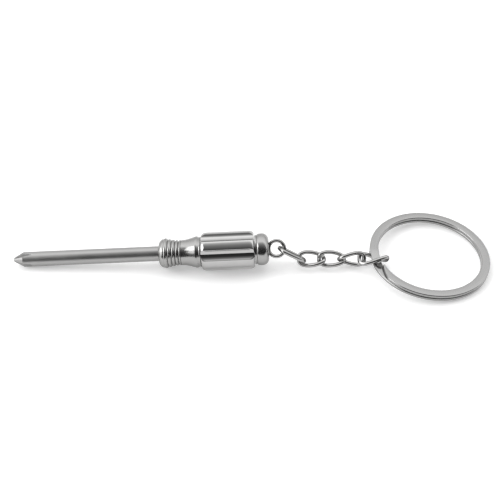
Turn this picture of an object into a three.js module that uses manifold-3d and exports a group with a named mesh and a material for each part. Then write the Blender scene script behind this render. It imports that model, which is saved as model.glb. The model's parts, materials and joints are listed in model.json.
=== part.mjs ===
// A pocket cross-tip screwdriver on a key ring: a turned and fluted handle on a steel blade,
// an eye pin, a short chain and a two-turn flat split ring, lying on a table.
// Millimetres. +Z is up, +X runs from the blade's tip to the split ring.
import * as THREE from 'three';
import { mergeVertices } from 'three/addons/utils/BufferGeometryUtils.js';
import Module from 'manifold-3d';

const wasm = await Module();
wasm.setup();

// ---- driving dimensions ----

const SEAT = 0.15;             // gap kept between pieces that seat in or on each other
const FLOOR_GAP = 0.03;        // gap kept between the pieces and the table
const ROUND_SIDES = 36;        // sides of a turned surface
const WIRE_SIDES = 12;         // sides of a wire

// blade
const BLADE_R = 1.85;
const BLADE_LENGTH = 36.3;     // tip to the front of the ferrule
const TIP_R = 0.5;             // blunt end of the cross tip
const TIP_HALF_ANGLE = 28.5;   // degrees, cone of the tip
const TIP_ROLL = 11;           // degrees, how far the cross is turned about the blade
const FLUTE_LENGTH = 5.2;      // where the cross flutes run out
const FLUTE_DEPTH_R = 0.28;    // radius of the core left at the tip
const FLUTE_HALF_ANGLE = 44;   // degrees, half of a flute's V
const TANG_LENGTH = 19.5;      // blade inside the handle
const KNURL_LENGTH = 6;
const KNURL_TEETH = 20;
const KNURL_DEPTH = 0.12;
const KNURL_MARGIN = 0.5;      // plain stretch at both ends of the knurl

// ferrule, the turned front piece of the handle
const FERRULE_LENGTH = 10.4;
const FERRULE_DOME_R = 3.87;
const FERRULE_DOME_LENGTH = 1.36;
const FERRULE_WAIST_R = 3.12;
const FERRULE_REAR_R = 3.9;
const FERRULE_FLARE = 112;     // degrees of a cosine wave that shape the flare behind the waist
const BEADS = 5;               // ring beads between the dome and the waist, parted by grooves
const BEADS_LENGTH = 4.22;
const BEAD_CROWDING = 1.15;    // above 1 makes the beads shorter towards the waist
const GROOVE_DEPTH = 0.16;
const REAR_BEAD_LENGTH = 0.35; // flat of the bead behind the flare
const REAR_GROOVE_LENGTH = 0.45;
const REAR_GROOVE_DEPTH = 0.22;
const REAR_RIM_LENGTH = 0.4;   // rim against the grip
const REAR_RIM_DEPTH = 0.15;
const MOUTH_EDGE = 0.1;        // flat around the ferrule's mouth
const SPIGOT_R = 2.7;          // spigot behind the ferrule, seated in the grip
const SPIGOT_LENGTH = 1.8;

// grip, the fluted middle piece
const GRIP_R = 4.75;
const GRIP_LENGTH = 13.0;
const GRIP_END_R = 4.08;       // radius of the rounded ends' faces
const GRIP_END_LENGTH = 1.3;   // how far the rounding reaches along the grip
const GRIP_FLUTES = 6;
const GRIP_FLUTE_R = 1.85;     // radius of the cutter
const GRIP_FLUTE_FLOOR_R = 4.0; // distance of the flute's floor from the axis
const GRIP_REST_SHARE = 0.75;  // where along its rounded end the grip touches the table

// end cap
const CAP_NECK_R = 3.6;
const CAP_NECK_LENGTH = 0.5;
const CAP_R = 3.95;
const CAP_LENGTH = 2.9;
const CAP_END_R = 2.3;         // flat of the cap's rear end
const CAP_CROWN_SHARE = 0.32;  // shares of the cap's length where its front rounding ends
const CAP_DOME_SHARE = 0.45;   // and where its rear dome starts
const CAP_BORE_CHAMFER = 0.3;
const CAP_PLUG_LENGTH = 3.2;   // plug in the grip's bore

// eye pin
const EYE_BORE_R = 1.5;
const EYE_WIRE_R = 0.45;
const EYE_SHANK_R = 0.55;
const EYE_SHANK_LENGTH = 2.6;
const EYE_SINK = 0.5;          // how far the loop sits in a dimple in the cap's end
const EYE_ROLL = 46;           // degrees, the loop's plane above level

// chain
const LINK_WIRE_R = 0.5;
const LINK_PLAY = 0.2;         // gap between two hooked wires
const CURB_SPAN = 2.8;         // room along a middle link, between the two wires hooked in it
const CURB_ROOM = 1.4;         // room across a middle link, beside the wire hooked in it
const JUMP_SPAN = 3.5;         // the same for the longer and wider links at both ends
const JUMP_ROOM = 2.0;
const LINK_SQUARENESS = 3;     // exponent of the oval, 2 is an ellipse
const LINK_STEPS = 30;         // stations round a link's wire
const EYE_SLIDE = 0.6;         // share of the first link's slope that it slides round the eye
const CURB_TWIST = 75;         // degrees, end to end
const LINK_WIRE = LINK_WIRE_R * 2;
const CURB_LENGTH = CURB_SPAN + (LINK_WIRE + LINK_PLAY) * 2 + LINK_WIRE * 2;
const CURB_WIDTH = CURB_ROOM + LINK_WIRE * 3;
const JUMP_LENGTH = JUMP_SPAN + (LINK_WIRE + LINK_PLAY) * 2 + LINK_WIRE * 2;
const JUMP_WIDTH = JUMP_ROOM + LINK_WIRE * 3;
const LINKS = [
  { name: 'link_1', length: JUMP_LENGTH, width: JUMP_WIDTH, twist: 0, lean: 150 },
  { name: 'link_2', length: CURB_LENGTH, width: CURB_WIDTH, twist: CURB_TWIST, lean: 28 },
  { name: 'link_3', length: CURB_LENGTH, width: CURB_WIDTH, twist: CURB_TWIST, lean: 31 },
  { name: 'link_4', length: CURB_LENGTH, width: CURB_WIDTH, twist: CURB_TWIST, lean: 90 },
  { name: 'link_5', length: JUMP_LENGTH, width: JUMP_WIDTH, twist: CURB_TWIST, lean: -26 },
];

// split ring
const RING_R = 15;
const RING_BAND = 2.15;        // radial width of the flat wire
const RING_WIRE = 0.84;        // thickness of the flat wire
const RING_COIL_GAP = 0.08;    // gap between the two turns
const RING_HOOKED = 2.375;     // from the middle of the band to the inside of the last link's end
const RING_SIDE = 2.2;         // how far the ring lies to the side of the chain's line
const RING_STEP_START = 178;   // degrees round the ring, where the upper turn dips
const RING_STEP_END = 202;     // degrees, where it has become the lower turn
const RING_STEP_GAP = 0.5;     // degrees between an end of the wire and the step beside it
const RING_TAPER = 18;         // degrees, length of the wire's pointed end
const RING_TAPER_WIDTH = 0.5;  // width left at that end
const RING_STATIONS = 60;      // stations for each turn
const RING_STEP_STATIONS = 10;
const RING_TAPER_STATIONS = 4;

// ---- materials ----

const polishedNickel = { color: 0xc9c9c7, roughness: 0.18, metalness: 1 };
const satinNickel = { color: 0xbdbcb9, roughness: 0.3, metalness: 1 };
const bladeSteel = { color: 0xb9b8b6, roughness: 0.25, metalness: 1 };

const radians = THREE.MathUtils.degToRad;

// ---- helpers ----

function mesh(name, geometry, finish) {
  const piece = new THREE.Mesh(geometry, new THREE.MeshStandardMaterial(finish));
  piece.name = name;
  return piece;
}

// A profile of [along, radius] points turned about the X axis.
function turned(profile) {
  const points = profile.map(([along, radius]) => new THREE.Vector2(radius, along));
  const geometry = new THREE.LatheGeometry(points, ROUND_SIDES);
  geometry.rotateZ(-Math.PI / 2);
  return geometry;
}

function solid(geometry) {
  const plain = geometry.clone();
  plain.deleteAttribute('normal');
  plain.deleteAttribute('uv');
  const merged = mergeVertices(plain, 1e-4);
  return new wasm.Manifold(new wasm.Mesh({
    numProp: 3,
    vertProperties: new Float32Array(merged.attributes.position.array),
    triVerts: new Uint32Array(merged.index.array),
  }));
}

function geometryOf(manifold) {
  const result = manifold.getMesh();
  const geometry = new THREE.BufferGeometry();
  geometry.setAttribute('position', new THREE.BufferAttribute(result.vertProperties, 3));
  geometry.setIndex(new THREE.BufferAttribute(result.triVerts, 1));
  return geometry;
}

// A skin over equal rings of points: closed on itself, or capped at both ends.
function skin(rings, closed) {
  const count = rings[0].length;
  const positions = rings.flat().flatMap((p) => [p.x, p.y, p.z]);
  const index = [];
  const spans = closed ? rings.length : rings.length - 1;
  for (let i = 0; i < spans; i++) {
    const here = i * count;
    const next = ((i + 1) % rings.length) * count;
    for (let j = 0; j < count; j++) {
      const k = (j + 1) % count;
      index.push(here + j, here + k, next + k, here + j, next + k, next + j);
    }
  }
  if (!closed) {
    const last = (rings.length - 1) * count;
    for (let j = 1; j < count - 1; j++) {
      index.push(0, j + 1, j);
      index.push(last, last + j, last + j + 1);
    }
  }
  const geometry = new THREE.BufferGeometry();
  geometry.setAttribute('position', new THREE.Float32BufferAttribute(positions, 3));
  geometry.setIndex(index);
  return geometry;
}

// Points of a quarter of an ellipse, from [along0, radius0] to [along1, radius1].
// It leaves the first point square to the axis and arrives at the second along the axis.
function quarterRound(along0, radius0, along1, radius1, steps) {
  const points = [];
  for (let i = 0; i <= steps; i++) {
    const angle = (i / steps) * Math.PI / 2;
    points.push([
      along1 + (along0 - along1) * Math.cos(angle),
      radius0 + (radius1 - radius0) * Math.sin(angle),
    ]);
  }
  return points;
}

// ---- places along the tool's axis, from the tip ----

const CONE_LENGTH = (BLADE_R - TIP_R) / Math.tan(radians(TIP_HALF_ANGLE));
const FERRULE_FRONT = BLADE_LENGTH;
const GRIP_FRONT = FERRULE_FRONT + FERRULE_LENGTH + SEAT;
const GRIP_REAR = GRIP_FRONT + GRIP_LENGTH;
const CAP_FRONT = GRIP_REAR + SEAT;
const CAP_REAR = CAP_FRONT + CAP_NECK_LENGTH + CAP_LENGTH;
const EYE_LOOP_R = EYE_BORE_R + EYE_WIRE_R;
const EYE_CENTRE = CAP_REAR - EYE_SINK + EYE_LOOP_R + EYE_WIRE_R;
const EYE_OUTER_R = EYE_LOOP_R + EYE_WIRE_R;
const DIMPLE_DEPTH = EYE_SINK + SEAT * 2;
const DIMPLE_R = Math.sqrt(EYE_OUTER_R ** 2 - (EYE_OUTER_R - EYE_SINK) ** 2) + SEAT * 2;
const BORE_R = BLADE_R + SEAT;
const TANG_END = FERRULE_FRONT + TANG_LENGTH;

// ---- blade ----

function blade() {
  const knurlStart = TANG_END - KNURL_LENGTH;
  const core = BLADE_R - KNURL_DEPTH;
  let body = solid(turned([
    [0, 0], [0, TIP_R], [CONE_LENGTH, BLADE_R],
    [knurlStart, BLADE_R], [knurlStart, core], [TANG_END, core], [TANG_END, 0],
  ]));

  const teeth = new THREE.Shape();
  for (let i = 0; i < KNURL_TEETH * 2; i++) {
    const angle = (i / (KNURL_TEETH * 2)) * Math.PI * 2;
    const radius = i % 2 ? core - KNURL_DEPTH : BLADE_R;
    teeth[i ? 'lineTo' : 'moveTo'](radius * Math.cos(angle), radius * Math.sin(angle));
  }
  const knurlDepth = KNURL_LENGTH - KNURL_MARGIN * 2;
  const knurl = new THREE.ExtrudeGeometry(teeth, { depth: knurlDepth, bevelEnabled: false });
  knurl.rotateY(Math.PI / 2);
  knurl.translate(knurlStart + KNURL_MARGIN, 0, 0);
  body = body.add(solid(knurl));

  // a V whose bottom edge climbs from the core at the tip to the surface at the run-out
  const climb = Math.atan2(BLADE_R - FLUTE_DEPTH_R, FLUTE_LENGTH);
  const reach = BLADE_R * 3;
  const opening = reach * Math.tan(radians(FLUTE_HALF_ANGLE));
  const vee = new THREE.Shape([
    new THREE.Vector2(0, 0), new THREE.Vector2(opening, reach), new THREE.Vector2(-opening, reach),
  ]);
  for (let i = 0; i < 4; i++) {
    const cutter = new THREE.ExtrudeGeometry(vee, { depth: FLUTE_LENGTH * 3, bevelEnabled: false });
    cutter.translate(0, 0, -FLUTE_LENGTH);
    cutter.rotateX(Math.PI / 2);
    cutter.rotateZ(Math.PI / 2);
    cutter.rotateY(-climb);
    cutter.translate(0, 0, FLUTE_DEPTH_R);
    cutter.rotateX((i * Math.PI) / 2 + radians(TIP_ROLL));
    body = body.subtract(solid(cutter));
  }
  return mesh('blade', geometryOf(body), bladeSteel);
}

// ---- ferrule ----

// The outside behind the front dome: beads and grooves on a taper down to the waist,
// a flare that sweeps up to the rear bead, a small groove and the rim against the grip.
function ferruleOutline() {
  const beadsEnd = FERRULE_DOME_LENGTH + BEADS_LENGTH;
  const rearLength = REAR_BEAD_LENGTH + REAR_GROOVE_LENGTH + REAR_RIM_LENGTH;
  const flareEnd = FERRULE_LENGTH - rearLength;
  const points = [];
  const beadSteps = 4;
  for (let i = 0; i <= BEADS * beadSteps; i++) {
    const t = i / (BEADS * beadSteps);
    const share = 1 - (1 - t) ** BEAD_CROWDING;
    const taper = FERRULE_DOME_R + (FERRULE_WAIST_R - FERRULE_DOME_R) * Math.sin((share * Math.PI) / 2);
    const groove = i % beadSteps ? 0 : GROOVE_DEPTH;
    points.push([FERRULE_DOME_LENGTH + share * BEADS_LENGTH, taper - groove]);
  }
  const flareSteps = 7;
  const sweep = radians(FERRULE_FLARE);
  for (let i = 1; i <= flareSteps; i++) {
    const t = i / flareSteps;
    const rise = (1 - Math.cos(t * sweep)) / (1 - Math.cos(sweep));
    const along = beadsEnd + t * (flareEnd - beadsEnd);
    points.push([along, FERRULE_WAIST_R + (FERRULE_REAR_R - FERRULE_WAIST_R) * rise]);
  }
  const rimFront = FERRULE_LENGTH - REAR_RIM_LENGTH;
  points.push([flareEnd + REAR_BEAD_LENGTH, FERRULE_REAR_R]);
  points.push([rimFront, FERRULE_REAR_R - REAR_GROOVE_DEPTH]);
  points.push([rimFront + REAR_RIM_LENGTH / 2, FERRULE_REAR_R - REAR_RIM_DEPTH]);
  points.push([FERRULE_LENGTH, FERRULE_REAR_R - REAR_RIM_DEPTH]);
  return points;
}

function ferrule() {
  const domeR = FERRULE_DOME_R - GROOVE_DEPTH;
  const profile = [
    [0, BORE_R],
    ...quarterRound(0, BORE_R + MOUTH_EDGE, FERRULE_DOME_LENGTH, domeR, 6).slice(0, -1),
    ...ferruleOutline(),
    [FERRULE_LENGTH, SPIGOT_R],
    [FERRULE_LENGTH + SPIGOT_LENGTH, SPIGOT_R],
    [FERRULE_LENGTH + SPIGOT_LENGTH, BORE_R],
    [0, BORE_R],
  ];
  const piece = mesh('ferrule', turned(profile), satinNickel);
  piece.position.x = FERRULE_FRONT;
  return piece;
}

// ---- grip ----

function grip() {
  const rounding = quarterRound(0, GRIP_END_R, GRIP_END_LENGTH, GRIP_R, 6);
  const rearRounding = rounding.map(([along, radius]) => [GRIP_LENGTH - along, radius]).reverse();
  const profile = [
    [0, SPIGOT_R + SEAT],
    ...rounding,
    ...rearRounding,
    [GRIP_LENGTH, BORE_R],
    [SPIGOT_LENGTH + SEAT * 2, BORE_R],
    [SPIGOT_LENGTH + SEAT * 2, SPIGOT_R + SEAT],
    [0, SPIGOT_R + SEAT],
  ];
  let body = solid(turned(profile));
  for (let i = 0; i < GRIP_FLUTES; i++) {
    const cutter = new THREE.CylinderGeometry(GRIP_FLUTE_R, GRIP_FLUTE_R, GRIP_LENGTH * 2, 24);
    cutter.rotateZ(-Math.PI / 2);
    cutter.translate(GRIP_LENGTH / 2, 0, -(GRIP_FLUTE_FLOOR_R + GRIP_FLUTE_R));
    cutter.rotateX((i * 2 * Math.PI) / GRIP_FLUTES);
    body = body.subtract(solid(cutter));
  }
  const piece = mesh('grip', geometryOf(body), polishedNickel);
  piece.position.x = GRIP_FRONT;
  return piece;
}

// ---- end cap ----

function endCap() {
  const start = CAP_NECK_LENGTH;
  const end = CAP_NECK_LENGTH + CAP_LENGTH;
  const crown = quarterRound(start, CAP_NECK_R, start + CAP_LENGTH * CAP_CROWN_SHARE, CAP_R, 4);
  const dome = quarterRound(end, CAP_END_R, start + CAP_LENGTH * CAP_DOME_SHARE, CAP_R, 7).reverse();
  const plugR = BORE_R - SEAT;
  const shankBoreR = EYE_SHANK_R + SEAT;
  const shankBoreEnd = end - DIMPLE_DEPTH - EYE_SHANK_LENGTH - SEAT;
  const profile = [
    [-CAP_PLUG_LENGTH, 0], [-CAP_PLUG_LENGTH, plugR], [0, plugR], [0, CAP_NECK_R],
    ...crown,
    ...dome,
    [end, DIMPLE_R],
    [end - DIMPLE_DEPTH, shankBoreR + CAP_BORE_CHAMFER],
    [end - DIMPLE_DEPTH, shankBoreR],
    [shankBoreEnd, shankBoreR],
    [shankBoreEnd, 0],
  ];
  const piece = mesh('end_cap', turned(profile), satinNickel);
  piece.position.x = CAP_FRONT;
  return piece;
}

// ---- eye pin ----

function eyePin() {
  const loop = new THREE.TorusGeometry(EYE_LOOP_R, EYE_WIRE_R, WIRE_SIDES, 36);
  const shank = new THREE.CylinderGeometry(EYE_SHANK_R, EYE_SHANK_R, EYE_SHANK_LENGTH, WIRE_SIDES);
  shank.rotateZ(Math.PI / 2);
  shank.translate(-EYE_LOOP_R - EYE_SHANK_LENGTH / 2, 0, 0);
  const piece = mesh('eye_pin', geometryOf(solid(loop).add(solid(shank))), polishedNickel);
  piece.position.x = EYE_CENTRE;
  piece.rotation.x = radians(EYE_ROLL);
  return piece;
}

// ---- chain link ----

// The centreline of a link's wire: an oval along X, twisted about X from end to end.
class LinkCurve extends THREE.Curve {
  constructor(length, width, twist) {
    super();
    this.halfLength = length / 2 - LINK_WIRE_R;
    this.halfWidth = width / 2 - LINK_WIRE_R;
    this.twist = twist;
  }

  turnAt(x) {
    return (-this.twist / 2) * (x / this.halfLength);
  }

  getPoint(t, target = new THREE.Vector3()) {
    const angle = t * Math.PI * 2;
    const power = 2 / LINK_SQUARENESS;
    const oval = (value) => Math.sign(value) * Math.abs(value) ** power;
    const x = this.halfLength * oval(Math.cos(angle));
    const across = this.halfWidth * oval(Math.sin(angle));
    const turn = this.turnAt(x);
    return target.set(x, across * Math.cos(turn), across * Math.sin(turn));
  }
}

function linkGeometry({ length, width, twist }) {
  const curve = new LinkCurve(length, width, radians(twist));
  const rings = [];
  for (let i = 0; i < LINK_STEPS; i++) {
    const centre = curve.getPointAt(i / LINK_STEPS);
    const ahead = curve.getPointAt(((i + 1) % LINK_STEPS) / LINK_STEPS);
    const behind = curve.getPointAt(((i + LINK_STEPS - 1) % LINK_STEPS) / LINK_STEPS);
    const tangent = ahead.sub(behind).normalize();
    const turn = curve.turnAt(centre.x);
    const face = new THREE.Vector3(0, -Math.sin(turn), Math.cos(turn));
    const side = new THREE.Vector3().crossVectors(face, tangent).normalize();
    const up = new THREE.Vector3().crossVectors(tangent, side);
    const ring = [];
    for (let j = 0; j < WIRE_SIDES; j++) {
      const angle = (j / WIRE_SIDES) * Math.PI * 2;
      ring.push(centre.clone()
        .addScaledVector(side, LINK_WIRE_R * Math.cos(angle))
        .addScaledVector(up, LINK_WIRE_R * Math.sin(angle)));
    }
    rings.push(ring);
  }
  return skin(rings, true);
}

// ---- split ring ----

// The flat wire makes two turns: the upper one dips to become the lower one at the step,
// and each end of the wire stops at that step, on its own side.
function splitRing() {
  const half = (RING_WIRE + RING_COIL_GAP) / 2;
  const stepSpan = RING_STEP_END - RING_STEP_START;
  const upperStart = RING_STEP_END + RING_STEP_GAP;
  const dip = RING_STEP_START + 360;
  const dipEnd = dip + stepSpan;
  const lowerEnd = RING_STEP_START + 720 - RING_STEP_GAP;
  const sections = (from, to, count) => Array.from(
    { length: count },
    (_, i) => from + ((to - from) * i) / count,
  );
  const stations = [
    ...sections(upperStart, upperStart + RING_TAPER, RING_TAPER_STATIONS),
    ...sections(upperStart + RING_TAPER, dip, RING_STATIONS),
    ...sections(dip, dipEnd, RING_STEP_STATIONS),
    ...sections(dipEnd, lowerEnd, RING_STATIONS),
    lowerEnd,
  ];
  const rings = stations.map((degrees) => {
    const down = THREE.MathUtils.smoothstep(degrees, dip, dipEnd);
    const height = half * (1 - 2 * down);
    const pointed = Math.min(1, (degrees - upperStart) / RING_TAPER);
    const width = RING_TAPER_WIDTH + (RING_BAND - RING_TAPER_WIDTH) * pointed;
    const inner = RING_R - RING_BAND;
    const angle = radians(degrees);
    const corner = (radius, z) => new THREE.Vector3(
      radius * Math.cos(angle), radius * Math.sin(angle), z,
    );
    return [
      corner(inner, height - RING_WIRE / 2),
      corner(inner, height + RING_WIRE / 2),
      corner(inner + width, height + RING_WIRE / 2),
      corner(inner + width, height - RING_WIRE / 2),
    ];
  });
  return mesh('split_ring', skin(rings, false), satinNickel);
}

// ---- assembly ----

// The tool lies on its blade's end and on the grip's front, with one of the grip's flutes straight down.
const fluteEdge = Math.acos(
  (GRIP_R ** 2 + (GRIP_FLUTE_FLOOR_R + GRIP_FLUTE_R) ** 2 - GRIP_FLUTE_R ** 2)
  / (2 * GRIP_R * (GRIP_FLUTE_FLOOR_R + GRIP_FLUTE_R)),
);
const gripRestR = GRIP_R * Math.cos(fluteEdge);
const gripRestAlong = GRIP_FRONT + GRIP_END_LENGTH * GRIP_REST_SHARE;
const pitch = Math.atan2(gripRestR - BLADE_R, gripRestAlong - CONE_LENGTH);

const tool = new THREE.Group();
tool.add(blade(), ferrule(), grip(), endCap(), eyePin());
tool.rotation.y = -pitch;
tool.position.z = BLADE_R / Math.cos(pitch) - CONE_LENGTH * Math.sin(pitch) + FLOOR_GAP;
tool.updateMatrixWorld(true);

// The first link slopes from the eye down to the chain, which lies level on the table.
const chainHeight = JUMP_WIDTH / 2 + FLOOR_GAP;
const hooked = LINK_WIRE + LINK_PLAY;
const eyeHooked = EYE_WIRE_R + LINK_WIRE_R + LINK_PLAY;
const jumpReach = JUMP_LENGTH - LINK_WIRE - eyeHooked;
const eyeCentre = tool.localToWorld(new THREE.Vector3(EYE_CENTRE, 0, 0));

// The steeper the link hangs, the further round the loop it has slid.
function eyeContact(slope) {
  const roll = radians(EYE_ROLL);
  const slid = slope * EYE_SLIDE;
  const inLoop = new THREE.Vector3(
    EYE_LOOP_R * Math.cos(slid),
    -EYE_LOOP_R * Math.sin(slid) * Math.cos(roll),
    -EYE_LOOP_R * Math.sin(slid) * Math.sin(roll),
  );
  return tool.localToWorld(inLoop.add(new THREE.Vector3(EYE_CENTRE, 0, 0)));
}

const slopeRounds = 20;
let slope = 0;
for (let i = 0; i < slopeRounds; i++) {
  const drop = eyeContact(slope).z - chainHeight + hooked * Math.sin(slope / 2);
  slope = Math.asin(THREE.MathUtils.clamp(drop / jumpReach, -0.9, 0.9));
}

const chain = new THREE.Group();
const contact = eyeContact(slope);
const along = new THREE.Vector3(Math.cos(slope), 0, -Math.sin(slope));
let hook = contact.clone().addScaledVector(along, -eyeHooked);
let direction = along;
for (const [i, link] of LINKS.entries()) {
  const piece = mesh(link.name, linkGeometry(link), polishedNickel);
  const reach = link.length - LINK_WIRE;
  piece.position.copy(hook).addScaledVector(direction, reach / 2);
  piece.rotation.order = 'YXZ';
  piece.rotation.x = radians(link.lean);
  piece.rotation.y = Math.atan2(-direction.z, direction.x);
  chain.add(piece);
  const next = new THREE.Vector3(1, 0, 0);
  const far = hook.clone().addScaledVector(direction, reach);
  const between = direction.clone().add(next).normalize();
  if (i < LINKS.length - 1) {
    hook = far.addScaledVector(between, -hooked);
    direction = next;
  } else {
    hook = far;
  }
}

// The ring leans on the last link, which lifts that side of it off the table to the chain's height.
const bandCentreR = RING_R - RING_BAND / 2;
const hookAngle = Math.asin(RING_SIDE / bandCentreR);
const ringThickness = RING_WIRE * 2 + RING_COIL_GAP;
const lift = chainHeight - ringThickness / 2;
const lean = Math.asin(lift / (RING_R + bandCentreR * Math.cos(hookAngle)));

const ring = splitRing();
const bandX = hook.x - LINK_WIRE_R - RING_HOOKED;
ring.position.set(
  bandX + bandCentreR * Math.cos(hookAngle) * Math.cos(lean),
  contact.y + RING_SIDE,
  RING_R * Math.sin(lean) + (ringThickness / 2) * Math.cos(lean),
);
ring.rotation.y = lean;

const parts = new THREE.Group();
parts.add(tool, chain, ring);

// The origin is under the middle of the whole object, on the table.
const model = new THREE.Group();
model.add(parts);
const extent = new THREE.Box3().setFromObject(model, true);
const middle = extent.getCenter(new THREE.Vector3());
parts.position.set(-middle.x, -middle.y, -extent.min.z);

export default model;
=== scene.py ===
"""A pocket cross-tip screwdriver on a chain and a two-turn split ring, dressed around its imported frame."""
import json
import math

import bmesh
import bpy
import numpy as np
from mathutils import Matrix, Vector


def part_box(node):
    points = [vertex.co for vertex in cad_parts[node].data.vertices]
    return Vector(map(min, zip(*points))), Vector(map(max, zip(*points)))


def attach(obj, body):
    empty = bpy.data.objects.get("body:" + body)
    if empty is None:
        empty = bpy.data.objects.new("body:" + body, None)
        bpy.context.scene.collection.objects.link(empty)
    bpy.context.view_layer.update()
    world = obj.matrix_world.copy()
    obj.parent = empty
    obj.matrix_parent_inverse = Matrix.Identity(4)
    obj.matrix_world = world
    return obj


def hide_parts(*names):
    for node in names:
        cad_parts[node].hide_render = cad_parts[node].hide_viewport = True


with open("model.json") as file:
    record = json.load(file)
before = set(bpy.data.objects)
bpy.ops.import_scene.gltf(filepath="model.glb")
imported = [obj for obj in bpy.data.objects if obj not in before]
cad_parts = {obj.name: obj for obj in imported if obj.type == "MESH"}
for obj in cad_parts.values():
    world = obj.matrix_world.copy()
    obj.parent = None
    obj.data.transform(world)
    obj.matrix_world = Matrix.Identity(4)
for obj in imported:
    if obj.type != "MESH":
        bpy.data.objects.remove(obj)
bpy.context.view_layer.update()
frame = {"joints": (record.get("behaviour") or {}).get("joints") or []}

MM = 0.001
MICRON = 0.000001

# ---- sizes in millimetres; these repeat the CAD's, apart from three groove and rim depths ----

SEAT = 0.15
BLADE_R, BLADE_LENGTH, TANG_LENGTH = 1.85, 36.3, 19.5
TIP_R, TIP_HALF_ANGLE, TIP_ROLL = 0.5, math.radians(28.5), math.radians(11)
CONE_LENGTH = (BLADE_R - TIP_R) / math.tan(TIP_HALF_ANGLE)
FLUTE_LENGTH, FLUTE_CORE_R, FLUTE_HALF_ANGLE = 5.2, 0.28, math.radians(44)
KNURL_LENGTH, KNURL_TEETH, KNURL_DEPTH = 6.0, 20, 0.12
BORE_R = BLADE_R + SEAT

FERRULE_LENGTH, FERRULE_DOME_R, FERRULE_DOME_LENGTH = 10.4, 3.87, 1.36
FERRULE_WAIST_R, FERRULE_REAR_R = 3.12, 3.9
FERRULE_FLARE = math.radians(112)
BEADS, BEADS_LENGTH, BEAD_CROWDING = 5, 4.22, 1.15
REAR_BEAD_LENGTH, REAR_GROOVE_LENGTH, REAR_RIM_LENGTH = 0.35, 0.45, 0.4
GROOVE_DEPTH, REAR_GROOVE_DEPTH, REAR_RIM_DEPTH = 0.3, 0.26, 0.16      # deeper than in the CAD
BEADS_END = FERRULE_DOME_LENGTH + BEADS_LENGTH
FLARE_END = FERRULE_LENGTH - REAR_BEAD_LENGTH - REAR_GROOVE_LENGTH - REAR_RIM_LENGTH
SPIGOT_R, SPIGOT_LENGTH = 2.7, 1.8

GRIP_R, GRIP_LENGTH, GRIP_END_R, GRIP_END_LENGTH = 4.75, 13.0, 4.08, 1.3
GRIP_REST_SHARE = 0.75         # where along its rounded end the grip touches the table
GRIP_FLUTES, GRIP_FLUTE_R, GRIP_FLUTE_FLOOR_R = 6, 1.85, 4.0
GRIP_CUTTER = GRIP_FLUTE_FLOOR_R + GRIP_FLUTE_R

CAP_NECK_R, CAP_NECK_LENGTH, CAP_R, CAP_LENGTH, CAP_END_R = 3.6, 0.5, 3.95, 2.9, 2.3
CAP_CROWN_SHARE, CAP_DOME_SHARE = 0.32, 0.45     # of the cap: its front rounding's end, its dome's start
CAP_PLUG_LENGTH, CAP_BORE_FLAT = 3.2, 0.3

EYE_BORE_R, EYE_WIRE_R, EYE_SHANK_R, EYE_SHANK_LENGTH = 1.5, 0.45, 0.55, 2.6
EYE_SINK, EYE_ROLL = 0.5, math.radians(46)

LINK_WIRE_R, LINK_SQUARENESS = 0.5, 3
CURB, JUMP = (7.2, 4.4), (7.9, 5.0)      # length and width of the two kinds of link
CURB_TWIST = math.radians(75)
LINKS = {                                # size, twist, lean about the chain's line
    "link_1": (JUMP, 0, 150),
    "link_2": (CURB, CURB_TWIST, 28),
    "link_3": (CURB, CURB_TWIST, 31),
    "link_4": (CURB, CURB_TWIST, 90),
    "link_5": (JUMP, CURB_TWIST, -26),
}

RING_R, RING_BAND, RING_WIRE, RING_COIL_GAP = 15.0, 2.15, 0.84, 0.08
RING_STEP_START, RING_STEP_END, RING_STEP_GAP = 178, 202, 0.5          # degrees round the ring
RING_TAPER, RING_TAPER_WIDTH = 18, 0.5   # the pointed end: its length in degrees, and its width

FERRULE_FRONT = BLADE_LENGTH
GRIP_FRONT = FERRULE_FRONT + FERRULE_LENGTH + SEAT
CAP_FRONT = GRIP_FRONT + GRIP_LENGTH + SEAT
CAP_REAR = CAP_FRONT + CAP_NECK_LENGTH + CAP_LENGTH
EYE_LOOP_R = EYE_BORE_R + EYE_WIRE_R
EYE_OUTER_R = EYE_LOOP_R + EYE_WIRE_R
EYE_CENTRE = CAP_REAR - EYE_SINK + EYE_OUTER_R

# ---- details that only this script has, in millimetres ----

FLUTES_END = FLUTE_LENGTH * 1.1          # past here the blended flutes have left the blade
FLUTE_BLEND = 0.05                       # how softly a flute of the tip meets the blade
FERRULE_NOSE_FLAT = 0.1                  # the flat ring between the ferrule's bore and its dome
BEAD_FULLNESS = 0.8                      # below 1 a bead is fuller than a sine wave's crest
REAR_EDGE = 0.12                         # how far the ferrule's rear edges are rounded over
GRIP_EDGE = 0.14                         # how far the edges of the grip's flutes are rounded over
CAP_NECK_EDGE = 0.05                     # the chamfer at the front of the cap's neck
DIMPLE_RIM = (0.06, 0.08)                # the chamfer round the eye's dimple: its depth and its width
CAP_POLE = 0.01                          # the radius at which the cap's front and its bore are closed
SHANK_POINT = (0.15, 0.7)                # the shank's end: its taper's length and share of the radius
SHANK_ROOT = (0.3, 0.85)                 # the same where the shank runs into the eye
BUTT_PLACE = 0.25                        # the link wire's butt joint, as a share of its length
BUTT_DEPTH, BUTT_WIDTH = 0.14, 0.035     # its depth as a share of the wire's radius, and its spread
RING_EDGE = 0.26                         # rounding along the flat wire's edges
RING_EDGE_SHARE = 2.5                    # the rounding is at most the band's width over this

# ---- how finely the meshes are divided ----

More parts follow.
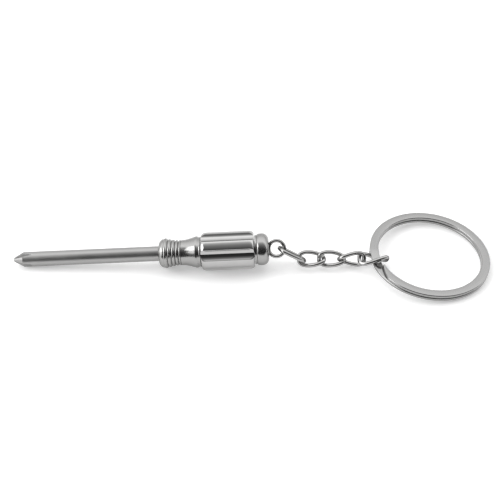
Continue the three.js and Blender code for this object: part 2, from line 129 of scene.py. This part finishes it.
ROUND = 192                              # points round a turned piece
WING_POINTS, WING_CROWDING = 34, 1.6     # from wing to wing of the blade, closest on the wings
TIP_ROWS, FLUTE_ROWS, SHAFT_ROWS, TANG_ROWS = 22, 30, 24, 8
BEAD_ROWS, FLARE_ROWS, NOSE_ROWS, DOME_ROWS, CORNER_ROWS = 24, 30, 20, 24, 16
EDGE_ROWS = 4                            # steps across one softened corner
GRIP_FLUTE_POINTS, GRIP_END_ROWS, GRIP_HALF_ROWS = 72, 18, 8
EYE_POINTS, WIRE_POINTS, SHANK_POINTS = 96, 24, 32
LINK_LINE_POINTS, LINK_ROWS = 2880, 120
BUTT_ROWS = np.array([-0.09, -0.05, -0.02, 0.02, 0.05, 0.09])     # mm from the butt joint
BUTT_ROOM = 0.1                          # mm on each side of the joint that hold only those rows
LINK_AIM = 0.1                           # mm each way along the wire, which give its direction
RING_TAPER_ROWS, RING_TURN_ROWS, RING_STEP_ROWS, RING_CORNER_POINTS = 24, 220, 48, 6


# ---- places, from the frame ----

def middle(node):
    low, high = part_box(node)
    return (low + high) / 2


def tool_place():
    """The tool's axis runs along X from the tip; it lies on its blade's end and on its grip."""
    edge = math.acos((GRIP_R**2 + GRIP_CUTTER**2 - GRIP_FLUTE_R**2) / (2 * GRIP_R * GRIP_CUTTER))
    rise = GRIP_R * math.cos(edge) - BLADE_R
    pitch = math.atan2(rise, GRIP_FRONT + GRIP_END_LENGTH * GRIP_REST_SHARE - CONE_LENGTH)
    turn = Matrix.Rotation(-pitch, 4, "Y")
    centre = Vector((GRIP_FRONT + GRIP_LENGTH / 2, 0, 0)) * MM
    return Matrix.Translation(middle("grip") - turn @ centre) @ turn


def link_place(node, lean):
    """The first link slopes from the eye down to the chain, and the others lie along X."""
    slope = 0
    if node == "link_1":
        eye = next(j for j in frame["joints"] if j["name"] == "eye_swing")
        run = middle(node) - Vector(eye["pos_m"])
        slope = math.atan2(-run.z, run.x)
    turn = Matrix.Rotation(slope, 4, "Y") @ Matrix.Rotation(math.radians(lean), 4, "X")
    return Matrix.Translation(middle(node)) @ turn


def ring_place():
    """The ring leans on the chain: one side lies on the table and the other is lifted."""
    low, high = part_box("split_ring")
    half_height = (RING_WIRE * 2 + RING_COIL_GAP) / 2 * MM
    lean = math.asin((high.z - low.z - 2 * half_height) / (2 * RING_R * MM))
    centre = Vector((high.x - RING_R * MM * math.cos(lean), (low.y + high.y) / 2, 0))
    centre.z = low.z + RING_R * MM * math.sin(lean) + half_height * math.cos(lean)
    return Matrix.Translation(centre) @ Matrix.Rotation(lean, 4, "Y")


# ---- mesh helpers ----

def smooth_step(value, start, end):
    t = np.clip((value - start) / (end - start), 0, 1)
    return t * t * (3 - 2 * t)


def smooth_min(a, b, width):
    h = np.clip(0.5 + 0.5 * (b - a) / width, 0, 1)
    return b + (a - b) * h - width * h * (1 - h)


def piece(name, rings, place, closed=False, sharp=32):
    """A piece skinned over equal rings of points, closed on itself or capped at both ends.

    Edges that turn by more than sharp degrees are drawn sharp."""
    rings = np.asarray(rings, float) * MM
    rows, count = rings.shape[:2]
    mesh = bpy.data.meshes.new(name)
    work = bmesh.new()
    verts = [work.verts.new(p) for p in rings.reshape(-1, 3)]
    for i in range(rows if closed else rows - 1):
        here, after = i * count, ((i + 1) % rows) * count
        for j in range(count):
            k = (j + 1) % count
            work.faces.new([verts[n] for n in (here + j, here + k, after + k, after + j)])
    if not closed:
        work.faces.new(verts[:count][::-1])
        work.faces.new(verts[-count:])
    bmesh.ops.recalc_face_normals(work, faces=work.faces)
    work.to_mesh(mesh)
    work.free()
    mesh.shade_smooth()
    mesh.set_sharp_from_angle(angle=math.radians(sharp))
    made = bpy.data.objects.new(name, mesh)
    bpy.context.scene.collection.objects.link(made)
    made.matrix_world = place
    return made


def angles_round(count):
    return np.arange(count) * 2 * math.pi / count


def ring_about_x(along, radii, angles):
    """One ring of points about X, with one radius or with one for each angle."""
    return np.stack([np.full_like(angles, along), radii * np.cos(angles), radii * np.sin(angles)], axis=1)


def turned(name, profile, place, closed=False):
    """A profile of (along, radius) points turned about X."""
    angles = angles_round(ROUND)
    rings = [ring_about_x(along, radius, angles) for along, radius in profile]
    return piece(name, rings, place, closed)


def quarter_round(along0, radius0, along1, radius1, steps=CORNER_ROWS):
    """A quarter of an ellipse that leaves the first point square to the axis and ends along it."""
    turn = np.linspace(0, math.pi / 2, steps + 1)
    along = along1 + (along0 - along1) * np.cos(turn)
    return list(zip(along, radius0 + (radius1 - radius0) * np.sin(turn)))


def softened(profile, radius):
    """The same profile with each corner cut by a short curve, so that edges catch the light."""
    most = 1 / 2.2                       # of a side, so that the curves at its two ends stay apart
    points = [np.array(p, float) for p in profile]
    result = [points[0]]
    for before, corner, after in zip(points, points[1:], points[2:]):
        back, ahead = before - corner, after - corner
        reach = min(radius, np.linalg.norm(back) * most, np.linalg.norm(ahead) * most)
        start = corner + back / np.linalg.norm(back) * reach
        end = corner + ahead / np.linalg.norm(ahead) * reach
        for t in np.linspace(0, 1, EDGE_ROWS + 1):
            result.append(start * (1 - t) ** 2 + corner * 2 * t * (1 - t) + end * t * t)
    return result + [points[-1]]


# ---- the tool ----

def tip_radii(radii, along, angles):
    """The blade's radii cut back by the four flutes of its cross tip."""
    quarter = math.pi / 2
    slope = math.tan(FLUTE_HALF_ANGLE)
    floor = FLUTE_CORE_R + (BLADE_R - FLUTE_CORE_R) * along / FLUTE_LENGTH
    off = np.abs((angles - TIP_ROLL + quarter / 2) % quarter - quarter / 2)
    side = np.cos(off) * slope - np.sin(off)
    least = 0.02                         # a direction this near the flute's wall never meets it
    never = BLADE_R * 3
    cut = np.where(side > least, floor * slope / np.maximum(side, least), never)
    return smooth_min(radii, cut, FLUTE_BLEND)


def blade(place):
    """A round blade with a four-winged cross tip, and a knurled tang inside the handle."""
    tang_end = BLADE_LENGTH + TANG_LENGTH
    knurl_start = tang_end - KNURL_LENGTH
    knurl_step = 0.01

    def radii_at(along):
        outside = TIP_R + (BLADE_R - TIP_R) * np.clip(along / CONE_LENGTH, 0, 1)
        radii = np.full_like(angles, outside)
        if along <= FLUTES_END:
            radii = tip_radii(radii, along, angles)
        if along >= knurl_start:
            radii = radii - KNURL_DEPTH * (1 - np.cos(angles * KNURL_TEETH)) / 2
        return radii

    quarter = math.pi / 2
    share = np.linspace(-1, 1, WING_POINTS)
    wing = quarter / 2 * np.sign(share) * (1 - (1 - np.abs(share)) ** WING_CROWDING)
    angles = np.sort(np.concatenate([wing[:-1] + quarter * n for n in range(4)])) + TIP_ROLL
    stations = np.concatenate([
        np.linspace(0, CONE_LENGTH, TIP_ROWS)[:-1],
        np.linspace(CONE_LENGTH, FLUTES_END, FLUTE_ROWS)[:-1],
        np.linspace(FLUTES_END, knurl_start, SHAFT_ROWS)[:-1],
        [knurl_start - knurl_step],
        np.linspace(knurl_start, tang_end, TANG_ROWS),
    ])
    rings = [ring_about_x(along, radii_at(along), angles) for along in stations]
    return piece("blade_fine", rings, place, sharp=24)


def ferrule_radius(along):
    """The ferrule's outside: ring beads on a taper down to the waist, then a flare to the rear bead."""
    share = np.clip((along - FERRULE_DOME_LENGTH) / BEADS_LENGTH, 0, 1)
    taper = FERRULE_DOME_R + (FERRULE_WAIST_R - FERRULE_DOME_R) * np.sin(share * math.pi / 2)
    count = BEADS * (1 - (1 - share) ** (1 / BEAD_CROWDING))
    beads = np.abs(np.sin(count * math.pi)) ** BEAD_FULLNESS
    flare = (along - BEADS_END) / (FLARE_END - BEADS_END)
    rise = (1 - np.cos(np.clip(flare, 0, 1) * FERRULE_FLARE)) / (1 - math.cos(FERRULE_FLARE))
    swept = FERRULE_WAIST_R + (FERRULE_REAR_R - FERRULE_WAIST_R) * rise
    return np.where(along < BEADS_END, taper - GROOVE_DEPTH * (1 - beads), swept)


def ferrule(place):
    """The turned front of the handle, with the blade's bore through it and a spigot behind."""
    along = np.concatenate([
        np.linspace(FERRULE_DOME_LENGTH, BEADS_END, BEADS * BEAD_ROWS + 1),
        np.linspace(BEADS_END, FLARE_END, FLARE_ROWS)[1:],
    ])
    body = list(zip(along, ferrule_radius(along)))
    rear = FERRULE_LENGTH
    groove = rear - REAR_RIM_LENGTH
    rim = softened([
        body[-1], (FLARE_END + REAR_BEAD_LENGTH, FERRULE_REAR_R),
        (groove, FERRULE_REAR_R - REAR_GROOVE_DEPTH),
        (groove + REAR_RIM_LENGTH / 2, FERRULE_REAR_R - REAR_RIM_DEPTH),
        (rear, FERRULE_REAR_R - REAR_RIM_DEPTH), (rear, SPIGOT_R),
    ], REAR_EDGE)
    nose = quarter_round(0, BORE_R + FERRULE_NOSE_FLAT,
                         FERRULE_DOME_LENGTH, FERRULE_DOME_R - GROOVE_DEPTH, NOSE_ROWS)
    profile = [
        (0, BORE_R), *nose[:-1], *body[:-1], *rim,
        (rear + SPIGOT_LENGTH, SPIGOT_R), (rear + SPIGOT_LENGTH, BORE_R),
    ]
    shift = Matrix.Translation((FERRULE_FRONT * MM, 0, 0))
    return turned("ferrule_fine", profile, place @ shift, closed=True)


def grip(place):
    """The fluted middle piece: six round flutes along a barrel with rounded ends."""
    sector = 2 * math.pi / GRIP_FLUTES
    angles = np.arange(GRIP_FLUTES * GRIP_FLUTE_POINTS) * sector / GRIP_FLUTE_POINTS
    off = np.abs((angles + math.pi / 2 + sector / 2) % sector - sector / 2)
    inside = np.maximum(GRIP_FLUTE_R**2 - (GRIP_CUTTER * np.sin(off)) ** 2, 0)
    reached = GRIP_CUTTER * np.sin(off) < GRIP_FLUTE_R
    never = GRIP_R * 2
    flute = np.where(reached, GRIP_CUTTER * np.cos(off) - np.sqrt(inside), never)

    def radii_at(along):
        near = min(along, GRIP_LENGTH - along)
        t = np.clip(1 - near / GRIP_END_LENGTH, 0, 1)
        barrel = GRIP_END_R + (GRIP_R - GRIP_END_R) * math.sqrt(1 - t * t)
        return smooth_min(np.full_like(flute, barrel), flute, GRIP_EDGE)

    ease = GRIP_END_LENGTH * (1 - np.cos(np.linspace(0, math.pi / 2, GRIP_END_ROWS)))
    front = np.concatenate([ease, np.linspace(GRIP_END_LENGTH, GRIP_LENGTH / 2, GRIP_HALF_ROWS)[1:-1]])
    stations = np.concatenate([front, GRIP_LENGTH - front[::-1]])
    rings = [ring_about_x(along, radii_at(along), angles) for along in stations]
    step = SPIGOT_LENGTH + SEAT * 2
    bore = [(GRIP_LENGTH, BORE_R), (step, BORE_R), (step, SPIGOT_R + SEAT), (0, SPIGOT_R + SEAT)]
    rings += [ring_about_x(along, radius, angles) for along, radius in bore]
    shift = Matrix.Translation((GRIP_FRONT * MM, 0, 0))
    return piece("grip_fine", rings, place @ shift, closed=True)


def end_cap(place):
    """The domed cap on its neck, with a plug in front and a dimple and a bore for the eye behind."""
    end = CAP_NECK_LENGTH + CAP_LENGTH
    dimple_depth = EYE_SINK + SEAT * 2
    dimple_r = math.sqrt(EYE_OUTER_R**2 - (EYE_OUTER_R - EYE_SINK) ** 2) + SEAT * 2
    shank_bore = EYE_SHANK_R + SEAT
    bore_end = end - dimple_depth - EYE_SHANK_LENGTH - SEAT
    crown_end = CAP_NECK_LENGTH + CAP_LENGTH * CAP_CROWN_SHARE
    dome_start = CAP_NECK_LENGTH + CAP_LENGTH * CAP_DOME_SHARE
    crown = quarter_round(CAP_NECK_LENGTH, CAP_NECK_R, crown_end, CAP_R)
    dome = quarter_round(end, CAP_END_R, dome_start, CAP_R, DOME_ROWS)[::-1]
    rim_depth, rim_width = DIMPLE_RIM
    profile = [
        (-CAP_PLUG_LENGTH, CAP_POLE), (-CAP_PLUG_LENGTH, BLADE_R), (0, BLADE_R),
        (0, CAP_NECK_R - CAP_NECK_EDGE), (CAP_NECK_EDGE, CAP_NECK_R), *crown, *dome,
        (end, dimple_r + rim_width), (end - rim_depth, dimple_r),
        (end - dimple_depth, shank_bore + CAP_BORE_FLAT), (end - dimple_depth, shank_bore),
        (bore_end, shank_bore), (bore_end, CAP_POLE),
    ]
    shift = Matrix.Translation((CAP_FRONT * MM, 0, 0))
    return turned("end_cap_fine", profile, place @ shift)


def union(base, other, sharp=40):
    """Joins other into base as one closed body."""
    bpy.context.view_layer.update()
    cut = base.modifiers.new("join", "BOOLEAN")
    cut.operation, cut.solver, cut.object = "UNION", "EXACT", other
    shape = base.evaluated_get(bpy.context.evaluated_depsgraph_get())
    base.data = bpy.data.meshes.new_from_object(shape)
    base.modifiers.clear()
    bpy.data.objects.remove(other)
    base.data.set_sharp_from_angle(angle=math.radians(sharp))
    return base


def eye_pin(place):
    """A round eye of wire on a shank that is driven into the end cap."""
    place = place @ Matrix.Translation((EYE_CENTRE * MM, 0, 0)) @ Matrix.Rotation(EYE_ROLL, 4, "X")
    loop = []
    for turn in angles_round(EYE_POINTS):
        out = np.array([math.cos(turn), math.sin(turn), 0])
        loop.append([
            out * (EYE_LOOP_R + EYE_WIRE_R * math.cos(a)) + np.array([0, 0, EYE_WIRE_R * math.sin(a)])
            for a in angles_round(WIRE_POINTS)
        ])
    start, root = -EYE_LOOP_R - EYE_SHANK_LENGTH, -EYE_LOOP_R
    shank = [
        ring_about_x(along, EYE_SHANK_R * share, angles_round(SHANK_POINTS)) for along, share in (
            (start, SHANK_POINT[1]), (start + SHANK_POINT[0], 1),
            (root - SHANK_ROOT[0], 1), (root, SHANK_ROOT[1]),
        )
    ]
    eye = piece("eye_pin_fine", loop, place, closed=True)
    return union(eye, piece("eye_shank", shank, place))


# ---- the chain ----

def oval(value):
    """One coordinate of a rounded oval: a squareness of 2 would give an ellipse."""
    return np.sign(value) * np.abs(value) ** (2 / LINK_SQUARENESS)


def link_line(half_length, half_width, twist):
    """The middle line of a link's wire, twisted from end to end, back to where it starts."""
    turns = np.linspace(0, 2 * math.pi, LINK_LINE_POINTS + 1)[:-1]
    x = half_length * oval(np.cos(turns))
    across = half_width * oval(np.sin(turns))
    roll = -twist / 2 * x / half_length
    line = np.stack([x, across * np.cos(roll), across * np.sin(roll)], axis=1)
    return np.vstack([line, line[:1]])


def link(name, size, twist, lean):
    """An oval wire link, with the butt joint of its wire in one strand."""
    half_length, half_width = size[0] / 2 - LINK_WIRE_R, size[1] / 2 - LINK_WIRE_R
    line = link_line(half_length, half_width, twist)
    travelled = np.concatenate([[0], np.cumsum(np.linalg.norm(np.diff(line, axis=0), axis=1))])
    length = travelled[-1]

    def at(stations):
        return np.stack([np.interp(stations % length, travelled, line[:, n]) for n in range(3)], axis=1)

    joint = length * BUTT_PLACE
    even = np.arange(LINK_ROWS) * length / LINK_ROWS
    stations = np.sort(np.concatenate([even[np.abs(even - joint) > BUTT_ROOM], joint + BUTT_ROWS]))
    aims = at(stations + LINK_AIM) - at(stations - LINK_AIM)
    rings = []
    for centre, aim, station in zip(at(stations), aims, stations):
        tangent = aim / np.linalg.norm(aim)
        roll = -twist / 2 * centre[0] / half_length
        side = np.cross([0, -math.sin(roll), math.cos(roll)], tangent)
        side /= np.linalg.norm(side)
        up = np.cross(tangent, side)
        nick = BUTT_DEPTH * math.exp(-(((station - joint) / BUTT_WIDTH) ** 2))
        radius = LINK_WIRE_R * (1 - nick)
        rings.append([
            centre + radius * (side * math.cos(a) + up * math.sin(a)) for a in angles_round(WIRE_POINTS)
        ])
    return piece(name + "_fine", rings, link_place(name, lean), closed=True, sharp=60)


# ---- the split ring ----

def band_section(inner, width, height):
    """The flat wire's section at one place: a rectangle with rounded edges."""
    edge = min(RING_EDGE, width / RING_EDGE_SHARE)
    low, high = height - RING_WIRE / 2, height + RING_WIRE / 2
    corners = [
        (inner + edge, low + edge, math.pi), (inner + edge, high - edge, math.pi / 2),
        (inner + width - edge, high - edge, 0), (inner + width - edge, low + edge, -math.pi / 2),
    ]
    points = []
    for r, z, start in corners:
        for t in np.linspace(0, math.pi / 2, RING_CORNER_POINTS):
            angle = start + math.pi / 2 - t
            points.append((r + edge * math.cos(angle), z + edge * math.sin(angle)))
    return points


def split_ring(place):
    """Two turns of flat wire: the upper one dips to become the lower one at the step."""
    half = (RING_WIRE + RING_COIL_GAP) / 2
    start, end = RING_STEP_END + RING_STEP_GAP, RING_STEP_START + 720 - RING_STEP_GAP
    taper_end = start + RING_TAPER
    dip_start, dip_end = RING_STEP_START + 360, RING_STEP_END + 360
    stations = np.concatenate([
        np.linspace(start, taper_end, RING_TAPER_ROWS)[:-1],
        np.linspace(taper_end, dip_start, RING_TURN_ROWS)[:-1],
        np.linspace(dip_start, dip_end, RING_STEP_ROWS)[:-1],
        np.linspace(dip_end, end, RING_TURN_ROWS),
    ])
    rings = []
    for degrees in stations:
        height = half * (1 - 2 * float(smooth_step(degrees, dip_start, dip_end)))
        pointed = min(1, (degrees - start) / RING_TAPER)
        width = RING_TAPER_WIDTH + (RING_BAND - RING_TAPER_WIDTH) * pointed
        angle = math.radians(degrees)
        rings.append([
            (r * math.cos(angle), r * math.sin(angle), z)
            for r, z in band_section(RING_R - RING_BAND, width, height)
        ])
    return piece("split_ring_fine", rings, place, sharp=40)


# ---- materials ----

# noise patterns: scale, detail, roughness; the lines get their scale from a mapping
METAL_LINES, METAL_CLOUDS = (1.0, 4.0, 0.6), (260.0, 3.0, 0.55)
RING_LINES, RING_CLOUDS = (1.0, 3.0, 0.6), (300.0, 3.0, 0.5)
METAL_TONES, RING_TONES = (0.92, 1.06), (0.93, 1.07)     # darkest and lightest, times the colour
LINES_WEIGHT = 0.5                       # of the tool lines in the roughness, beside the clouds' 1
MATT_SPAN = (0.3, 1.2)                   # what lines and clouds add up to, from smooth to matt
RING_GRAIN = (9000, 2.2, 9000)           # per metre outward, per radian round, per metre up


class Shader:
    """A short way to write a material's nodes."""

    def __init__(self, name):
        self.material = bpy.data.materials.new(name)
        self.material.use_nodes = True
        self.tree = self.material.node_tree
        self.surface = self.tree.nodes["Principled BSDF"]

    def node(self, kind, **settings):
        made = self.tree.nodes.new(kind)
        for key, value in settings.items():
            if key in made.inputs:
                made.inputs[key].default_value = value
            else:
                setattr(made, key, value)
        return made

    def link(self, source, output, target, name):
        self.tree.links.new(source.outputs[output], target.inputs[name])

    def noise(self, pattern, source, output):
        scale, detail, roughness = pattern
        made = self.node("ShaderNodeTexNoise", Scale=scale, Detail=detail, Roughness=roughness)
        self.link(source, output, made, "Vector")
        return made

    def stretched(self, source, output, grain):
        made = self.node("ShaderNodeMapping")
        made.inputs["Scale"].default_value = grain
        self.link(source, output, made, "Vector")
        return made

    def toned(self, colour, tones, pattern):
        """Colours the surface, darker and lighter with the pattern."""
        tone = self.node("ShaderNodeMapRange", **{"To Min": tones[0], "To Max": tones[1]})
        self.link(pattern, "Fac", tone, "Value")
        tinted = self.node("ShaderNodeVectorMath", operation="SCALE")
        tinted.inputs[0].default_value = colour
        self.link(tone, "Result", tinted, "Scale")
        self.link(tinted, "Vector", self.surface, "Base Color")

    def matted(self, roughness, spread, source, output, span=(0, 1)):
        """Roughness that follows a value, from smooth to matt as it goes over its span."""
        matt = self.node("ShaderNodeMapRange", **{
            "From Min": span[0], "From Max": span[1],
            "To Min": roughness - spread, "To Max": roughness + spread,
        })
        self.link(source, output, matt, "Value")
        self.link(matt, "Result", self.surface, "Roughness")

    def bumped(self, pattern, height):
        bump = self.node("ShaderNodeBump", Strength=1.0, Distance=height)
        self.link(pattern, "Fac", bump, "Height")
        self.link(bump, "Normal", self.surface, "Normal")


def metal(name, colour, edge, roughness, spread, grain, grain_height):
    """Plated metal with tool lines stretched by grain, and clouds; edge is its tint at grazing angles."""
    shader = Shader(name)
    shader.surface.inputs["Metallic"].default_value = 1
    shader.surface.inputs["Specular Tint"].default_value = (edge, edge, edge, 1)
    where = shader.node("ShaderNodeTexCoord")
    stretch = shader.stretched(where, "Object", grain)
    lines = shader.noise(METAL_LINES, stretch, "Vector")
    clouds = shader.noise(METAL_CLOUDS, where, "Object")
    shader.toned(colour, METAL_TONES, clouds)
    both = shader.node("ShaderNodeMath", operation="MULTIPLY_ADD")
    both.inputs[1].default_value = LINES_WEIGHT
    shader.link(lines, "Fac", both, 0)
    shader.link(clouds, "Fac", both, 2)
    shader.matted(roughness, spread, both, "Value", MATT_SPAN)
    shader.bumped(lines, grain_height)
    return shader.material


def ring_track(shader, where):
    """The ring's own coordinates: outward, round and up."""
    split = shader.node("ShaderNodeSeparateXYZ")
    shader.link(where, "Object", split, "Vector")
    flat = shader.node("ShaderNodeCombineXYZ")
    shader.link(split, "X", flat, "X")
    shader.link(split, "Y", flat, "Y")
    radius = shader.node("ShaderNodeVectorMath", operation="LENGTH")
    shader.link(flat, "Vector", radius, 0)
    angle = shader.node("ShaderNodeMath", operation="ARCTAN2")
    shader.link(split, "Y", angle, 0)
    shader.link(split, "X", angle, 1)
    track = shader.node("ShaderNodeCombineXYZ")
    shader.link(radius, "Value", track, "X")
    shader.link(angle, "Value", track, "Y")
    shader.link(split, "Z", track, "Z")
    return track


def ring_nickel(name):
    """Flat wire brushed along its length, so the lines run round the ring."""
    shader = Shader(name)
    shader.surface.inputs["Metallic"].default_value = 1
    where = shader.node("ShaderNodeTexCoord")
    stretch = shader.stretched(ring_track(shader, where), "Vector", RING_GRAIN)
    lines = shader.noise(RING_LINES, stretch, "Vector")
    clouds = shader.noise(RING_CLOUDS, where, "Object")
    shader.toned((0.31, 0.309, 0.307), RING_TONES, lines)
    shader.matted(0.16, 0.07, clouds, "Fac")
    shader.bumped(lines, 4 * MICRON)
    return shader.material


def steel(name):
    return metal(name, (0.34, 0.338, 0.335), edge=0.9, roughness=0.36, spread=0.05,
                 grain=(60, 900, 900), grain_height=0.8 * MICRON)


def satin_nickel(name):
    return metal(name, (0.33, 0.328, 0.324), edge=0.8, roughness=0.2, spread=0.05,
                 grain=(5000, 150, 150), grain_height=0.8 * MICRON)


def polished_nickel(name):
    return metal(name, (0.42, 0.418, 0.415), edge=0.85, roughness=0.05, spread=0.03,
                 grain=(150, 1500, 1500), grain_height=0.3 * MICRON)


def wire_nickel(name):
    return metal(name, (0.4, 0.398, 0.395), edge=0.05, roughness=0.12, spread=0.04,
                 grain=(700, 700, 700), grain_height=0.6 * MICRON)


# ---- stage, in metres; the camera's lens and sensor are in millimetres ----

CAMERA_TARGET = Vector((-0.6, -1.9, 5.27)) * MM
CAMERA_ELEVATION = math.radians(43.96)
CAMERA_DISTANCE = 221.5 * MM
CAMERA_LENS, CAMERA_SENSOR = 64.8, 36
CAMERA_CLIP = (0.01, 20)

FLOOR_HALF = 40
FLOOR_WHITE, FLOOR_GLOW, FLOOR_ROUGHNESS, FLOOR_SHINE = 0.9, 0.3, 0.9, 0.1

# the soft lights: place, target, size, and how bright the face looks
SOFTBOXES = {
    "key": ((-0.62, -0.16, 0.56), (0, 0, 0), (0.4, 0.4), 3.4),
    "left_wall": ((-0.9, -0.25, 0.36), (0, 0, 0.03), (1.0, 0.6), 2.0),
}

# how bright the soft sky is, by angle from the level front, over the top, to the level back
SKY = [
    (0, 0.04), (46, 0.06), (60, 0.2), (76, 0.42), (88, 0.8),
    (100, 1.9), (132, 1.6), (150, 1.15), (180, 0.95),
]


def camera():
    data = bpy.data.cameras.new("camera")
    data.lens, data.sensor_width = CAMERA_LENS, CAMERA_SENSOR
    data.clip_start, data.clip_end = CAMERA_CLIP
    made = bpy.data.objects.new("camera", data)
    bpy.context.scene.collection.objects.link(made)
    back = Vector((0, -math.cos(CAMERA_ELEVATION), math.sin(CAMERA_ELEVATION)))
    made.location = CAMERA_TARGET + back * CAMERA_DISTANCE
    made.rotation_euler = (-back).to_track_quat("-Z", "Y").to_euler()
    bpy.context.scene.camera = made


def floor():
    """A white table that also glows a little, since the photo's background is pure white."""
    mesh = bpy.data.meshes.new("floor")
    corners = [(x * FLOOR_HALF, y * FLOOR_HALF, 0) for x, y in ((-1, -1), (1, -1), (1, 1), (-1, 1))]
    mesh.from_pydata(corners, [], [(0, 1, 2, 3)])
    made = bpy.data.objects.new("floor", mesh)
    bpy.context.scene.collection.objects.link(made)
    shader = Shader("pale_floor")
    sockets = shader.surface.inputs
    sockets["Base Color"].default_value = (FLOOR_WHITE, FLOOR_WHITE, FLOOR_WHITE, 1)
    sockets["Emission Color"].default_value = (1, 1, 1, 1)
    sockets["Emission Strength"].default_value = FLOOR_GLOW
    sockets["Roughness"].default_value = FLOOR_ROUGHNESS
    sockets["Specular IOR Level"].default_value = FLOOR_SHINE
    made.data.materials.append(shader.material)


def softbox(name, place, target, size, radiance):
    """A soft rectangular light; radiance is how bright its face looks."""
    data = bpy.data.lights.new(name, "AREA")
    data.shape = "RECTANGLE"
    data.size, data.size_y = size
    data.energy = radiance * math.pi * size[0] * size[1]
    made = bpy.data.objects.new(name, data)
    bpy.context.scene.collection.objects.link(made)
    made.location = place
    made.rotation_euler = (Vector(target) - Vector(place)).to_track_quat("-Z", "Y").to_euler()


def sky():
    """A studio tent: dark behind the viewer, brightest a little beyond straight up."""
    world = bpy.data.worlds.new("tent")
    world.use_nodes = True
    tree = world.node_tree
    where = tree.nodes.new("ShaderNodeTexCoord")
    split = tree.nodes.new("ShaderNodeSeparateXYZ")
    front = tree.nodes.new("ShaderNodeMath")
    front.operation = "MULTIPLY"
    front.inputs[1].default_value = -1
    angle = tree.nodes.new("ShaderNodeMath")
    angle.operation = "ARCTAN2"
    share = tree.nodes.new("ShaderNodeMath")
    share.operation = "DIVIDE"
    share.inputs[1].default_value = math.pi
    ramp = tree.nodes.new("ShaderNodeValToRGB")
    peak = max(level for _, level in SKY)
    stops = ramp.color_ramp.elements
    while len(stops) < len(SKY):
        stops.new(0.5)
    for stop, (degrees, level) in zip(stops, SKY):
        stop.position = degrees / 180
        stop.color = (level / peak, level / peak, level / peak, 1)
    background = tree.nodes["Background"]
    background.inputs["Strength"].default_value = peak
    tree.links.new(where.outputs["Generated"], split.inputs["Vector"])
    tree.links.new(split.outputs["Y"], front.inputs[0])
    tree.links.new(split.outputs["Z"], angle.inputs[0])
    tree.links.new(front.outputs["Value"], angle.inputs[1])
    tree.links.new(angle.outputs["Value"], share.inputs[0])
    tree.links.new(share.outputs["Value"], ramp.inputs["Fac"])
    tree.links.new(ramp.outputs["Color"], background.inputs["Color"])
    bpy.context.scene.world = world


# ---- assembly ----

def show(shape, node, body, material):
    shape.data.materials.clear()
    shape.data.materials.append(material)
    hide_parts(node)
    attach(shape, body)


def dress():
    """Puts each fine piece in the place of its CAD node, with one material for each finish."""
    tool = tool_place()
    pieces = {                           # shape, body, slot, finish
        "blade": (blade(tool), "tool", "blade_steel", steel),
        "ferrule": (ferrule(tool), "tool", "satin_nickel", satin_nickel),
        "grip": (grip(tool), "tool", "polished_nickel", polished_nickel),
        "end_cap": (end_cap(tool), "tool", "satin_nickel", satin_nickel),
        "eye_pin": (eye_pin(tool), "tool", "polished_nickel", wire_nickel),
    }
    for name, (size, twist, lean) in LINKS.items():
        pieces[name] = (link(name, size, twist, lean), name, "polished_nickel", wire_nickel)
    pieces["split_ring"] = (split_ring(ring_place()), "split_ring", "ring_nickel", ring_nickel)
    materials = {}
    for node, (shape, body, slot, finish) in pieces.items():
        if finish not in materials:
            materials[finish] = finish(finish.__name__)
        show(shape, node, body, materials[finish])


bpy.context.scene.view_settings.view_transform = "Standard"
camera()
floor()
sky()
for light, settings in SOFTBOXES.items():
    softbox(light, *settings)
dress()
